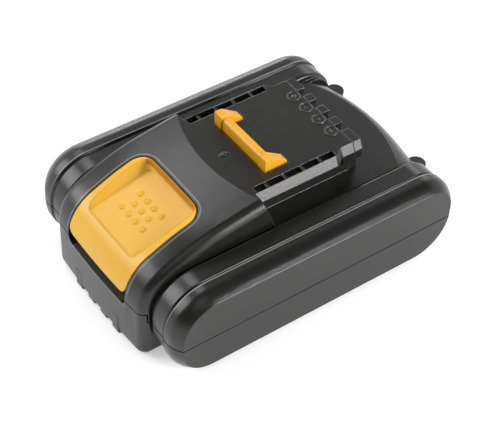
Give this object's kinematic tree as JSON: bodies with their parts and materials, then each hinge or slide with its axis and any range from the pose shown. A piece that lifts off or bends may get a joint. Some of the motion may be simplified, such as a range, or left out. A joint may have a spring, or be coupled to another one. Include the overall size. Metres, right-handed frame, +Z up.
{
  "type": "power tool battery pack",
  "caption": "Slide-on battery pack with rounded side wings, a T-rail with windowed flanges, a contact comb and a sprung latch hook worked by a front thumb button.",
  "frame": {"origin": "middle of the base, on the surface the pack stands on, under the middle of its length", "axes": "+Z up; +Y towards the contact end that enters the tool first; -Y is the release button end; the pack is the same on both sides of X = 0"},
  "size_m": [0.076, 0.1052, 0.0442],
  "materials": {
    "housing_plastic": "moulded, fine spark texture",
    "guide_plastic": "moulded",
    "button_plastic": "moulded, satin",
    "latch_plastic": "moulded, satin",
    "bracket_plastic": "moulded",
    "spring_steel": "drawn wire",
    "can_steel": "nickel plated",
    "sleeve_film": "shrink film",
    "ring_card": "fibre card",
    "holder_plastic": "moulded",
    "nickel": "strip",
    "sheet_card": "fibre sheet",
    "foam": "open foam",
    "board": "solder resist",
    "chip_black": "moulded epoxy",
    "shunt_metal": "sheet",
    "terminal_plastic": "moulded",
    "contact_metal": "tinned spring strip",
    "bead": "dipped epoxy",
    "red_wire": "insulation",
    "black_wire": "insulation",
    "sense_wire": "insulation",
    "screw_steel": "zinc plated"
  },
  "bodies": {
    "pack": {"lower_housing": "housing_plastic", "upper_housing": "housing_plastic", "contact_guide": "guide_plastic", "latch_bracket": "bracket_plastic", "latch_spring_left": "spring_steel", "latch_spring_right": "spring_steel", "cell_1": "can_steel", "cell_2": "can_steel", "cell_3": "can_steel", "cell_4": "can_steel", "cell_5": "can_steel", "cell_sleeves": "sleeve_film", "cell_end_rings": "ring_card", "holder_left": "holder_plastic", "holder_right": "holder_plastic", "strap_positive_end": "nickel", "strap_1_2": "nickel", "strap_2_3": "nickel", "strap_3_4": "nickel", "strap_4_5": "nickel", "strap_negative_end": "nickel", "insulator_left": "sheet_card", "insulator_right": "sheet_card", "foam_pads": "foam", "circuit_board": "board", "controller_chip": "chip_black", "power_transistors": "chip_black", "shunt_resistor": "shunt_metal", "terminal_block": "terminal_plastic", "contact_positive": "contact_metal", "contact_negative": "contact_metal", "contact_temperature": "contact_metal", "contact_data": "contact_metal", "thermistor": "bead", "positive_lead": "red_wire", "negative_lead": "black_wire", "sense_leads": "sense_wire", "housing_screws": "screw_steel", "board_screws": "screw_steel"},
    "latch": {"release_button": "button_plastic", "latch_frame": "latch_plastic"}
  },
  "joints": [
    {"name": "latch_slide", "type": "slide", "parent": "pack", "child": "latch", "axis": [0, 0, -1], "range_m": [0, 0.0042], "stiffness_N_per_m": 900, "springref_m": -0.004, "deforming": ["latch_spring_left", "latch_spring_right"]}
  ]
}
